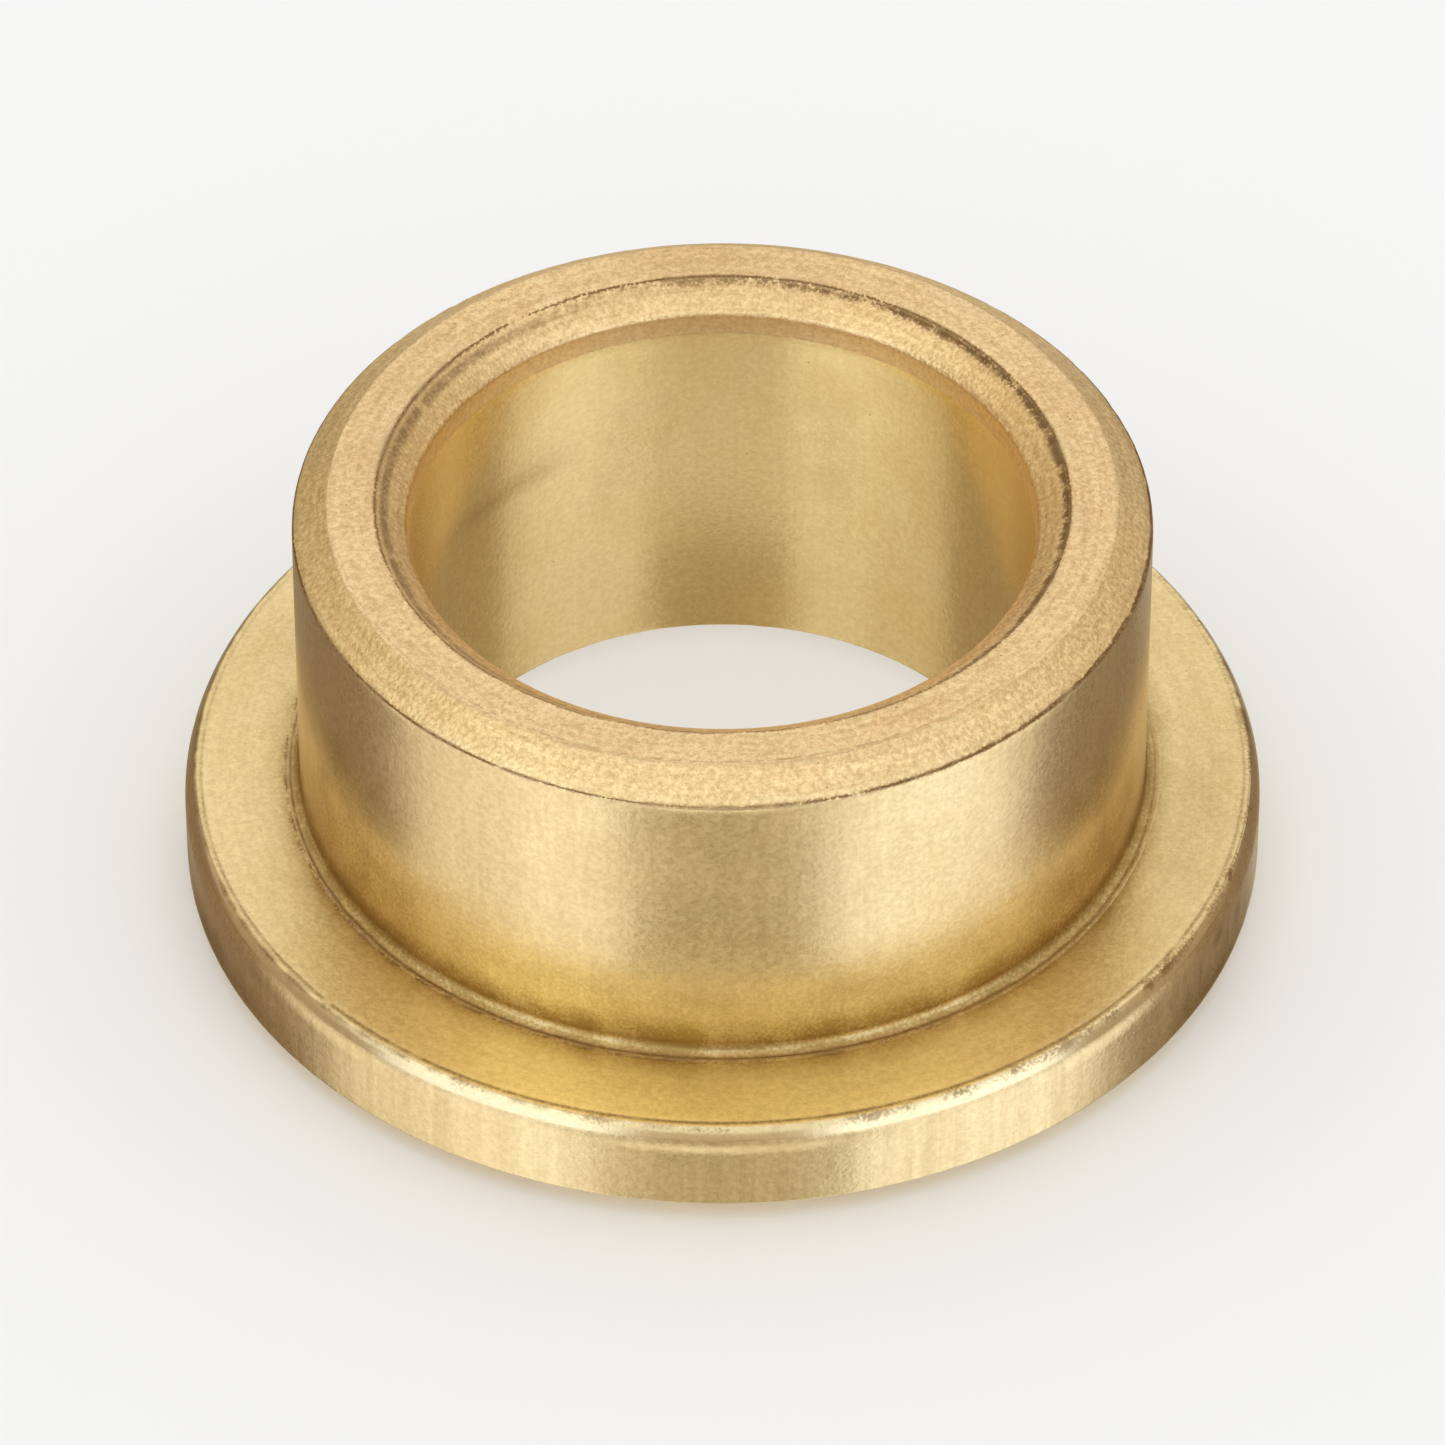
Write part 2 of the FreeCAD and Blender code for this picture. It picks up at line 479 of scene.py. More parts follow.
@dataclass(frozen=True)
class Wear:
    """What use and tumbling did to the metal, and where painted shade lies on it, in millimetres."""

    seed: int = 16
    unevenness: float = 0.018
    uneven_reach: float = 0.15
    waves: tuple[int, int] = (20, 150)
    wave_count: int = 60
    line_gain: float = 1.6
    nick_sizes: tuple[float, float] = (0.35, 1.0)
    nick_shapes: tuple[float, float] = (0.5, 0.9)
    nicks: tuple[EdgeNicks, ...] = (
        EdgeNicks(Zone.RIM, 0.97, 12, 0.20, 0.008),
        EdgeNicks(Zone.RIM_BEVEL, 0.55, 30, 0.28, 0.030),
        EdgeNicks(Zone.RIM_BEVEL, 0.02, 26, 0.25, 0.025),
        EdgeNicks(Zone.SLEEVE_LEAD, 0.02, 36, 0.20, 0.020),
        EdgeNicks(Zone.SLEEVE_LEAD, 0.98, 20, 0.22, 0.020),
        EdgeNicks(Zone.BORE_LEAD, 0.03, 28, 0.20, 0.020),
        EdgeNicks(Zone.FOOT, 0.15, 60, 0.26, 0.020),
        EdgeNicks(Zone.FOOT, 0.60, 40, 0.22, 0.020),
    )
    grooves: tuple[Groove, ...] = (
        Groove(Zone.BORE_LEAD, 0.12, 0.140, 0.040, 100.0, 0.15, 1.0, 0.90, Layer.STAIN_AND_SHADE, 0.65),
        Groove(Zone.BORE_LEAD, 0.13, 0.150, 0.020, 105.0, 0.00, 0.5, 1.15, Layer.GRIME),
        Groove(Zone.BORE_LEAD, 0.28, 0.170, 0.012, -85.0, 0.00, 0.25, 0.85, Layer.STAIN_AND_SHADE, 0.40, 0.34),
        Groove(Zone.BORE, 0.03, 0.050, 0.003, 180.0, 0.20, 0.5, 0.55, Layer.STAIN_AND_SHADE),
        # Besides its slight groove, this one paints a dark line of shade just inside the seat's edge.
        Groove(Zone.SEAT, 0.12, 0.065, 0.008, 0.0, 0.35, 0.2, 0.85, Layer.STAIN_AND_SHADE, 0.25, -0.19),
        Groove(Zone.SEAT_BEVEL, 0.30, 0.200, 0.010, 74.0, 0.00, 0.8, 0.90, Layer.GRIME),
        Groove(Zone.SEAT_BEVEL, 0.34, 0.120, 0.008, -75.0, 0.00, 0.8, 0.70, Layer.STAIN_AND_SHADE),
        Groove(Zone.SLEEVE_LEAD, 0.02, 0.085, 0.024, 82.0, 0.00, 0.5, 1.60, Layer.GRIME),
        Groove(Zone.SLEEVE_LEAD, 0.01, 0.055, 0.014, -78.0, 0.00, 0.3, 1.50, Layer.GRIME, 0.60, -0.09),
        Groove(Zone.END, 0.12, 0.045, 0.018, 0.0, 0.25, 0.6, 0.55, Layer.STAIN_AND_SHADE, 0.75, -0.09),
        Groove(Zone.END, 1.05, 0.045, 0.014, 0.0, 0.00, 0.6, 0.55, Layer.STAIN_AND_SHADE, 0.60, 0.08),
        Groove(Zone.SLEEVE_LEAD, 0.34, 0.045, 0.014, 0.0, 0.10, 0.6, 0.30, Layer.STAIN_AND_SHADE, 0.60, 0.10),
        Groove(Zone.FOOT, 0.00, 0.060, 0.006, -50.0, 0.15, 0.8, 1.00, Layer.GRIME, 0.35, -0.08),
        Groove(Zone.FOOT, 0.13, 0.040, 0.006, -30.0, 0.35, 0.5, 0.90, Layer.STAIN_AND_SHADE),
    )
    films_and_shade: tuple[Mark, ...] = (
        # The next two darken the sleeve all round towards its foot.
        Mark(Zone.SLEEVE, 0.18, 0.0, 90.0, 0.95, 0.50),
        Mark(Zone.SLEEVE, 0.03, 0.0, 90.0, 0.85, 1.00),
        # Painted shade: the next four darken the sleeve's sides, where they stand in for dark reflections.
        Mark(Zone.SLEEVE, 0.20, -60.0, 4.0, 1.60, 1.00),
        Mark(Zone.SLEEVE, 0.50, -63.0, 3.4, 1.80, 0.75),
        Mark(Zone.SLEEVE, 0.18, 61.0, 3.8, 1.50, 1.00),
        Mark(Zone.SLEEVE, 0.50, 58.0, 3.0, 1.80, 0.80),
        Mark(Zone.SLEEVE, 0.07, 168.0, 6.0, 0.80, 0.55),
        Mark(Zone.SLEEVE, 0.44, 112.0, 3.4, 5.0, 0.40),
        Mark(Zone.SLEEVE, 0.44, -113.0, 3.2, 5.0, 0.50),
        Mark(Zone.SLEEVE, 0.65, 179.0, 3.0, 9.0, 0.22),
        Mark(Zone.SEAT, 0.50, 82.0, 5.0, 1.60, 0.32),
        Mark(Zone.RIM, 0.45, 66.0, 2.4, 1.10, 0.25),
        # Painted contact shade: the next three darken the rim's lower part at both sides.
        Mark(Zone.RIM, 0.10, 64.0, 3.2, 0.65, 1.00),
        Mark(Zone.RIM, 0.12, -72.0, 4.2, 0.65, 1.00),
        Mark(Zone.RIM, 0.15, -84.0, 2.2, 0.70, 0.90),
        Mark(Zone.RIM, 0.50, -160.0, 4.0, 1.10, 0.30),
        Mark(Zone.BORE_LEAD, 0.50, -104.0, 5.5, 0.80, 0.34),
        Mark(Zone.BORE_LEAD, 0.50, 78.0, 3.2, 0.80, 0.20),
        # Painted reflection bands: the next four darken stripes of the bore wall, and the slanted one after
        # them is a painted shadow line.
        Mark(Zone.BORE, 0.83, 184.0, 1.6, 3.0, 0.20),
        Mark(Zone.BORE, 0.36, -161.0, 1.1, 2.6, 0.42),
        Mark(Zone.BORE, 0.36, 160.0, 1.1, 2.4, 0.38),
        Mark(Zone.BORE, 0.25, -99.0, 0.9, 2.5, 0.25),
        Mark(Zone.BORE, 0.33, -138.0, 3.5, 0.34, 0.46, 0.09),
    )
    stains_and_shade: tuple[Mark, ...] = (
        # Painted contact shade: the next two darken the rim's lower part at both sides; the small streaks
        # after them are stains.
        Mark(Zone.RIM, 0.10, 66.0, 2.4, 0.30, 0.55),
        Mark(Zone.RIM, 0.10, -72.0, 3.0, 0.35, 0.50),
        Mark(Zone.RIM, 0.62, 55.0, 0.22, 0.5, 0.45),
        Mark(Zone.RIM, 0.38, 58.5, 0.34, 0.9, 0.60),
        Mark(Zone.RIM, 0.55, 61.0, 0.16, 0.6, 0.70),
        Mark(Zone.RIM, 0.30, 63.0, 0.40, 0.7, 0.50),
        Mark(Zone.RIM, 0.78, 65.5, 0.50, 0.4, 0.65),
        Mark(Zone.RIM, 0.45, 68.0, 0.20, 0.9, 0.60),
        Mark(Zone.RIM, 0.55, 71.5, 0.45, 0.6, 0.65),
        Mark(Zone.RIM, 0.35, 75.0, 0.25, 0.8, 0.50),
        Mark(Zone.RIM, 0.80, -58.0, 1.2, 0.4, 0.45),
        Mark(Zone.RIM, 0.35, -68.0, 0.9, 0.6, 0.50),
        Mark(Zone.RIM, 0.50, 152.0, 0.6, 0.9, 0.55),
        Mark(Zone.RIM, 0.60, -118.0, 0.5, 0.8, 0.50),
    )

    def uneven(self, azimuths: np.ndarray, rng: np.random.Generator) -> np.ndarray:
        """A random closed curve round the axis, from 0 to 1.

        Args:
            azimuths: the angles to give it at, in radians.
            rng: where the random draws come from.

        Returns:
            One value for each angle.
        """
        turns = rng.integers(*self.waves, self.wave_count)
        phases = rng.uniform(0.0, math.tau, self.wave_count)
        curve = np.cos(np.outer(azimuths, turns) + phases).sum(axis=1)
        return (curve - curve.min()) / np.ptp(curve)


@dataclass
class BushingBody:
    """The bushing's metal: one closed surface of revolution with its wear in the mesh."""

    section: Section = field(default_factory=Section.from_frame)
    sampling: Sampling = Sampling()
    wear: Wear = Wear()
    around: int = 400
    map_margin: float = 0.004
    outline: Outline = field(init=False)
    azimuths: np.ndarray = field(init=False)
    grooves: list[tuple[Groove, np.ndarray, np.ndarray]] = field(init=False)

    def __post_init__(self) -> None:
        """Samples the outline, the angles round the axis and the grooves."""
        self.outline = Outline(self.section.corners(), self.sampling)
        self.azimuths = np.linspace(-math.pi / 2, 3 * math.pi / 2, self.around, endpoint=False)
        self.grooves = self._grooves()

    def build(self, finishes: dict[Zone, bpy.types.Material]) -> bpy.types.Object:
        """Makes the mesh, dresses it and puts it in the CAD node's place.

        Args:
            finishes: the material of each zone.

        Returns:
            The finished piece.
        """
        mesh = self._mesh()
        self._paint(mesh)
        self._unwrap(mesh)
        for zone in Zone:
            mesh.materials.append(finishes[zone])
        zones = list(Zone)
        indices = np.tile([zones.index(zone) for zone in self.outline.zones], self.around)
        mesh.polygons.foreach_set("material_index", indices.astype(np.int32))
        piece = bpy.data.objects.new("bushing_metal", mesh)
        bpy.context.scene.collection.objects.link(piece)
        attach(piece, BODY)
        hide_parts(NODE)
        return piece

    def _depths(self) -> np.ndarray:
        """How far wear sinks each point under the nominal surface, in millimetres.

        Returns:
            An array with a row for each angle and a column for each outline point.
        """
        rng = np.random.default_rng(self.wear.seed)
        outline = self.outline
        depths = np.zeros((self.around, len(outline.points)))
        reach = self.wear.uneven_reach
        for index, corner in enumerate(outline.corners):
            weights = [0.0] * len(outline.corners)
            weights[index] = max(corner.shine, corner.grime)
            near = outline.near_corners(weights, reach)
            depths += self.wear.unevenness * np.outer(self.wear.uneven(self.azimuths, rng), near)
        for edge in self.wear.nicks:
            for _ in range(edge.count):
                size = rng.uniform(*self.wear.nick_sizes)
                mark = Mark(
                    edge.zone, edge.share, rng.uniform(0.0, FULL_TURN), edge.widest * size,
                    edge.widest * size * rng.uniform(*self.wear.nick_shapes), edge.deepest * size,
                )
                depths += self._spread(mark)
        for groove, strengths, _ in self.grooves:
            depths += groove.depth * strengths
        return depths

    def _grooves(self) -> list[tuple[Groove, np.ndarray, np.ndarray]]:
        """How strong each groove and its burr are at each point.

        Returns:
            Each groove with two arrays, with a row for each angle and a column for each point.
        """
        rng = np.random.default_rng(self.wear.seed + 1)
        rows = []
        for groove in self.wear.grooves:
            facing = (1 + np.cos(self.azimuths - math.radians(groove.azimuth))) / 2
            along = groove.least + (1 - groove.least) * facing
            waver = np.clip(self.wear.line_gain * self.wear.uneven(self.azimuths, rng), 0.0, 1.0)
            along *= waver ** groove.broken
            start = self.outline.place_of(groove.zone, 0.0)
            arrays = []
            for place in (start + groove.offset, start + groove.offset - groove.burr_offset):
                across = np.exp(-(((self.outline.run_mm - place) / groove.reach) ** 2))
                arrays.append(np.outer(along, across))
            rows.append((groove, *arrays))
        return rows

    def _spread(self, mark: Mark) -> np.ndarray:
        """A mark's strength at each point, which fades from its middle.

        Args:
            mark: the stain or nick.

        Returns:
            An array with a row for each angle and a column for each outline point.
        """
        outline = self.outline
        apart = np.angle(np.exp(1j * (self.azimuths - math.radians(mark.azimuth))))
        across = np.outer(apart, outline.radii)
        along = outline.run_mm - outline.place_of(mark.zone, mark.share) - mark.slant * across
        return mark.strength * np.exp(-((across / mark.width) ** 2) - (along / mark.reach) ** 2)

    def _mesh(self) -> bpy.types.Mesh:
        """Turns the worn outline once round the axis.

        Returns:
            The mesh, in metres, with its points ring by ring.
        """
        outline = self.outline
        depths = self._depths()
        radii = outline.radii - depths * outline.normals[:, 0]
        heights = outline.heights - depths * outline.normals[:, 1]
        heights = np.clip(heights, 0.0, self.section.length)
        xs = radii * np.sin(self.azimuths)[:, None]
        ys = -radii * np.cos(self.azimuths)[:, None]
        points = np.stack((xs, ys, heights), axis=2).reshape(-1, 3) * MM
        count = len(outline.points)
        ring, place = np.divmod(np.arange(self.around * count), count)
        next_ring = (ring + 1) % self.around * count
        next_place = (place + 1) % count
        ring = ring * count
        sides = (ring + place, next_ring + place, next_ring + next_place, ring + next_place)
        quads = np.stack(sides, axis=1)
        mesh = bpy.data.meshes.new("bushing_metal")
        mesh.from_pydata(points.tolist(), [], quads.tolist())
        mesh.shade_smooth()
        return mesh

    def _paint(self, mesh: bpy.types.Mesh) -> None:
        """Stores on each point what the finishes read: place, shine, grime, stain and film, where stain and
        film also hold painted shade.

        Args:
            mesh: the mesh from _mesh.
        """
        outline = self.outline
        layers = {
            Layer.RUN: [np.tile(outline.run_mm, (self.around, 1))],
            Layer.SHINE: [np.tile(outline.shine, (self.around, 1))],
            Layer.GRIME: [np.tile(outline.grime, (self.around, 1))],
            Layer.STAIN_AND_SHADE: [self._spread(mark) for mark in self.wear.stains_and_shade],
            Layer.FILM_AND_SHADE: [self._spread(mark) for mark in self.wear.films_and_shade],
        }
        for groove, strengths, burrs in self.grooves:
            layers[groove.layer].append(groove.dark * strengths)
            layers[Layer.SHINE].append(groove.burr * burrs)
        for layer, shares in layers.items():
            stored = mesh.attributes.new(layer.value, "FLOAT", "POINT")
            values = np.maximum.reduce(shares).ravel()
            stored.data.foreach_set("value", values.astype(np.float32))

    def _unwrap(self, mesh: bpy.types.Mesh) -> None:
        """Lays the surface out flat for baking: the front half turn and the back one, in two rows.

        Args:
            mesh: the mesh from _mesh.
        """
        count = len(self.outline.points)
        ends = np.append(self.outline.run_mm, self.outline.around_mm)
        face, corner = np.divmod(np.arange(self.around * count * FACE_CORNERS), FACE_CORNERS)
        ring, place = np.divmod(face, count)
        turn = ring + np.isin(corner, ON_NEXT_RING)
        half = self.around // 2
        row = ring // half
        usable = 1 - 2 * self.map_margin
        across = self.map_margin + usable * (turn - row * half) / half
        up = ends[place + np.isin(corner, ON_NEXT_PLACE)] / self.outline.around_mm
        up = (row + self.map_margin + usable * up) / 2
        layer = mesh.uv_layers.new(name="OFBake")
        layer.data.foreach_set("uv", np.stack((across, up), axis=1).astype(np.float32).ravel())


class Bench:
    """A node tree that is being wired, with one short call for each kind of node."""

    def __init__(self, tree: bpy.types.NodeTree) -> None:
        """Starts on a tree, which it empties."""
        self.tree = tree
        tree.nodes.clear()

    def feed(self, socket: Socket, value: Input) -> None:
        """Links a socket to another one, or sets its value.

        Args:
            socket: the input.
            value: an output socket, a number or a colour.
        """
        if isinstance(value, Socket):
            self.tree.links.new(value, socket)
        elif isinstance(value, tuple) and socket.type == "RGBA":
            socket.default_value = (*value, 1.0)
        else:
            socket.default_value = value

    def add(
        self, kind: str, inputs: dict[str | int, Input] | None = None, **settings: object,
    ) -> bpy.types.Node:
        """Adds a node.

        Args:
            kind: the node's type name.
            inputs: what to feed its inputs, by name or number.
            settings: properties to set on it.

        Returns:
            The node.
        """
        node = self.tree.nodes.new(kind)
        for name, value in settings.items():
            setattr(node, name, value)
        for key, value in (inputs or {}).items():
            self.feed(node.inputs[key], value)
        return node

    def math(self, operation: str, first: Input, second: Input = 0.0, clamp: bool = False) -> Socket:
        """The result of an operation such as ADD, kept from 0 to 1 if clamp is set."""
        node = self.add("ShaderNodeMath", {0: first, 1: second}, operation=operation, use_clamp=clamp)
        return node.outputs[0]

    def plus(self, total: Input, pattern: Input, amount: float, clamp: bool = False) -> Input:
        """A number with a share of a pattern added to it.

        Args:
            total: the number.
            pattern: the pattern.
            amount: the pattern's share.
            clamp: whether to keep the result from 0 to 1.

        Returns:
            The output socket, or the number itself if the share is nothing.
        """
        if not amount:
            return total
        inputs = {0: pattern, 1: amount, 2: total}
        return self.add("ShaderNodeMath", inputs, operation="MULTIPLY_ADD", use_clamp=clamp).outputs[0]

    def span(
        self, value: Input, low: Input, high: Input, to_low: Input = 0.0, to_high: Input = 1.0,
    ) -> Socket:
        """A smooth step, which gives to_low up to low and to_high from high on."""
        inputs = {"Value": value, "From Min": low, "From Max": high, "To Min": to_low, "To Max": to_high}
        return self.add("ShaderNodeMapRange", inputs, interpolation_type="SMOOTHSTEP").outputs[0]

    def blend(self, share: Input, first: Input, second: Input, way: str = "MIX") -> Socket:
        """Two colours mixed, with a share of the second, in the way that Blender names."""
        inputs = {0: share, MIX_FIRST: first, MIX_SECOND: second}
        return self.add("ShaderNodeMix", inputs, data_type="RGBA", blend_type=way).outputs[MIX_RESULT]

    def either(self, share: Input, first: Input, second: Input) -> Socket:
        """Two shaders mixed, with a share of the second."""
        return self.add("ShaderNodeMixShader", {0: share, 1: first, 2: second}).outputs[0]

    def stored(self, layer: Layer) -> Socket:
        """A number that the mesh stores on its points."""
        return self.add("ShaderNodeAttribute", attribute_name=layer.value).outputs["Fac"]

    def place(self) -> Socket:
        """The place on the bushing in millimetres, as a vector."""
        where = self.add("ShaderNodeTexCoord").outputs["Object"]
        return self.add("ShaderNodeVectorMath", {0: where, "Scale": MM_PER_M}, operation="SCALE").outputs[0]

    def moved(self, where: Input, seed: Input) -> Socket:
        """A place moved by a seed, so that one pattern reads differently on each zone."""
        return self.add("ShaderNodeVectorMath", {0: where, 1: seed}, operation="ADD").outputs[0]

    def level(self, where: Input) -> Socket:
        """A vector with its height taken away, one unit long."""
        flat = self.add("ShaderNodeVectorMath", {0: where, 1: (1.0, 1.0, 0.0)}, operation="MULTIPLY")
        return self.add("ShaderNodeVectorMath", {0: flat.outputs[0]}, operation="NORMALIZE").outputs[0]

    def turned_place(self, around: Input, across: Input) -> Socket:
        """A place that changes with the angle and with the distance along the section.

        Args:
            around: how fast it changes round the axis, per turn of one radian.
            across: how fast it changes along the section, per millimetre.

        Returns:
            A vector to read a pattern at, which closes round the axis without a seam.
        """
        spoke = self.level(self.add("ShaderNodeTexCoord").outputs["Object"])
        spoke = self.add("ShaderNodeVectorMath", {0: spoke, "Scale": around}, operation="SCALE")
        parts = self.add("ShaderNodeSeparateXYZ", {0: spoke.outputs[0]})
        depth = self.math("MULTIPLY", self.stored(Layer.RUN), across)
        inputs = {0: parts.outputs[0], 1: parts.outputs[1], 2: depth}
        return self.add("ShaderNodeCombineXYZ", inputs).outputs[0]

    def frequency(self, size: Input) -> Socket:
        """How often a pattern comes in a millimetre, from its size."""
        return self.math("DIVIDE", 1.0, size)

    def cells(self, where: Input, scale: Input) -> bpy.types.Node:
        """Cells round scattered points."""
        return self.add("ShaderNodeTexVoronoi", {"Vector": where, "Scale": scale}, feature="F1")

    def noise(self, where: Input, scale: Input, detail: float = 2.0, rough: float = 0.5) -> Socket:
        """Soft noise from about 0 to 1. detail is how many finer layers it has, rough their strength."""
        inputs = {"Vector": where, "Scale": scale, "Detail": detail, "Roughness": rough}
        return self.add("ShaderNodeTexNoise", inputs).outputs[0]


class Effect(ABC):
    """A pattern that several finishes share, as a node group that is built once."""

    name: str
    takes: dict[str, float]
    gives: tuple[str, ...]

    def __init__(self) -> None:
        """Builds the group."""
        self.group = bpy.data.node_groups.new(self.name, "ShaderNodeTree")
        kind = SocketKind.VALUE.value
        sockets = self.group.interface
        for label, default in self.takes.items():
            socket = sockets.new_socket(name=label, in_out="INPUT", socket_type=kind)
            socket.default_value = default
        for label in self.gives:
            sockets.new_socket(name=label, in_out="OUTPUT", socket_type=kind)
        bench = Bench(self.group)
        given = bench.add("NodeGroupInput").outputs
        made = self.wire(bench, {label: given[label] for label in self.takes})
        bench.add("NodeGroupOutput", dict(made))

    @abstractmethod
    def wire(self, bench: Bench, given: Sockets) -> Sockets:
        """Wires the pattern.

        Args:
            bench: the group's own tree.
            given: the group's inputs by name.

        Returns:
            What goes to each output, by name.
        """

    def put(self, bench: Bench, **values: float) -> Sockets:
        """Places the group in a material.

        Args:
            bench: the material's tree.
            values: the inputs' values, named with underscores for spaces.

        Returns:
            The outputs by name.
        """
        node = bench.add("ShaderNodeGroup", node_tree=self.group)
        for label, value in values.items():
            bench.feed(node.inputs[label.replace("_", " ")], value)
        return {label: node.outputs[label] for label in self.gives}


class PressedGrain(Effect):
    """The grain that pressed metal powder keeps: small bumps at two levels and a soft mottling."""

    name = "pressed_grain"
    takes = {"size": 0.12, "seed": 0.0}
    gives = ("height", "mottle")
    cell_depth = 0.6
    fine_rate = 1.4
    fine_layers = (2.0, 0.6)
    mottle_rate = 0.85
    mottle_layers = (3.0, 0.75)

    def wire(self, bench: Bench, given: Sockets) -> Sockets:
        """Wires the grain.

        Args:
            bench: the group's own tree.
            given: a grain's size in millimetres, and the seed.

        Returns:
            The bumps' height and the mottling.
        """
        frequency = bench.frequency(given["size"])
        where = bench.moved(bench.place(), given["seed"])
        cells = bench.cells(where, frequency)
        finer = bench.math("MULTIPLY", frequency, self.fine_rate)
        fine = bench.noise(where, finer, *self.fine_layers)
        coarser = bench.math("MULTIPLY", frequency, self.mottle_rate)
        mottle = bench.noise(where, coarser, *self.mottle_layers)
        return {"height": bench.plus(fine, cells.outputs["Distance"], -self.cell_depth), "mottle": mottle}


class ToolLines(Effect):
    """Fine rings round the axis, broken here and there."""

    name = "tool_lines"
    takes = {"per mm": 6.0, "breakup": 2.0, "seed": 0.0}
    gives = ("lines",)
    layers = (2.0, 0.6)

    def wire(self, bench: Bench, given: Sockets) -> Sockets:
        """Wires the rings, from how many a millimetre holds and how often they break."""
        where = bench.turned_place(given["breakup"], given["per mm"])
        return {"lines": bench.noise(bench.moved(where, given["seed"]), 1.0, *self.layers)}


class DrawStreaks(Effect):
    """Streaks along the section, left where a die or a tool slid over the wall."""

    name = "draw_streaks"
    takes = {"around": 42.0, "per mm": 0.10, "seed": 0.0}
    gives = ("streaks",)
    layers = (4.0, 0.65)

    def wire(self, bench: Bench, given: Sockets) -> Sockets:
        """Wires the streaks, from how close they lie and how fast they change along the section."""
        where = bench.turned_place(given["around"], given["per mm"])
        return {"streaks": bench.noise(bench.moved(where, given["seed"]), 1.0, *self.layers)}


class Pores(Effect):
    """Small dark pits, of which only some cells have one."""

    name = "pores"
    takes = {"spacing": 0.5, "share": 0.2, "radius": 0.18}
    gives = ("pits",)
    wobble_rate = 3.0
    wobble_layers = 1.0
    least_wobble = 0.5
    least_size = 0.25

    def wire(self, bench: Bench, given: Sockets) -> Sockets:
        """Wires the pits.

        Args:
            bench: the group's own tree.
            given: the cells' spacing in millimetres, the share of them with a pit, and the pit's
                radius as a share of the spacing.

        Returns:
            The pits, 1 in their middle.
        """
        where = bench.place()
        frequency = bench.frequency(given["spacing"])
        finer = bench.math("MULTIPLY", frequency, self.wobble_rate)
        wobble = bench.noise(where, finer, self.wobble_layers)
        cells = bench.cells(where, frequency)
        chance = bench.add("ShaderNodeSeparateXYZ", {0: cells.outputs["Color"]})
        chosen = bench.math("LESS_THAN", chance.outputs[0], given["share"])
        size = bench.math("ADD", chance.outputs[1], self.least_size)
        radius = bench.math("MULTIPLY", given["radius"], size)
        radius = bench.math("MULTIPLY", radius, bench.math("ADD", wobble, self.least_wobble))
        pit = bench.span(cells.outputs["Distance"], radius, 0.0)
        return {"pits": bench.math("MULTIPLY", pit, chosen)}


class Patches(Effect):
    """Soft patches where the metal has tarnished more."""

    name = "patches"
    takes = {"size": 3.0, "low": 0.34, "high": 0.72, "seed": 0.0}
    gives = ("mask",)

    def wire(self, bench: Bench, given: Sockets) -> Sockets:
        """Wires the patches.

        Args:
            bench: the group's own tree.
            given: a patch's size in millimetres, where in the noise it starts and is full, and
                the seed.

        Returns:
            The mask, 1 inside a patch.
        """
        where = bench.moved(bench.place(), given["seed"])
        cloud = bench.noise(where, bench.frequency(given["size"]))
        return {"mask": bench.span(cloud, given["low"], given["high"])}


class WornEdges(Effect):
    """The corners' rubbed and oxidised lines, the stains and the brown film, with the painted shade that
    the stain and film layers also carry, all broken up.
    """

    name = "worn_edges"
    takes = {"grain": 0.09}
    gives = ("shine", "grime", "stain", "film")
    fine_layers = (2.0, 0.6)
    broad_rate = 0.07
    broad_share = 0.8
    spots_at = 1.02
    spots_drop = 0.4
    spots_width = 0.24
    rubbed_from = (0.80, 1.10)
    film_and_shade_from = (0.60, 1.20)
    film_and_shade_to = (0.55, 1.30)
    stain_and_shade_from = (0.15, 0.95)
    stain_and_shade_least = 0.5

    def wire(self, bench: Bench, given: Sockets) -> Sockets:
        """Wires the breaking up of what the mesh stores on its points.

        Args:
            bench: the group's own tree.
            given: the size of the breaking up, in millimetres.

        Returns:
            The share of each kind of mark, from 0 to 1.
        """
        where = bench.place()
        frequency = bench.frequency(given["grain"])
        fine = bench.noise(where, frequency, *self.fine_layers)
        broad = bench.noise(where, bench.math("MULTIPLY", frequency, self.broad_rate))
        both = bench.plus(fine, broad, self.broad_share)
        grime = bench.stored(Layer.GRIME)
        start = bench.plus(self.spots_at, grime, -self.spots_drop)
        spots = bench.span(both, start, bench.math("ADD", start, self.spots_width))
        broken = bench.span(both, *self.film_and_shade_from, *self.film_and_shade_to)
        uneven = bench.math("ADD", fine, self.stain_and_shade_least)
        stained_or_shaded = bench.math("MULTIPLY", bench.stored(Layer.STAIN_AND_SHADE), uneven)
        return {
            "shine": bench.math("MULTIPLY", bench.stored(Layer.SHINE), bench.span(both, *self.rubbed_from)),
            "grime": bench.math("MULTIPLY", grime, spots, clamp=True),
            "stain": bench.span(stained_or_shaded, *self.stain_and_shade_from),
            "film": bench.math("MULTIPLY", bench.stored(Layer.FILM_AND_SHADE), broken, clamp=True),
        }


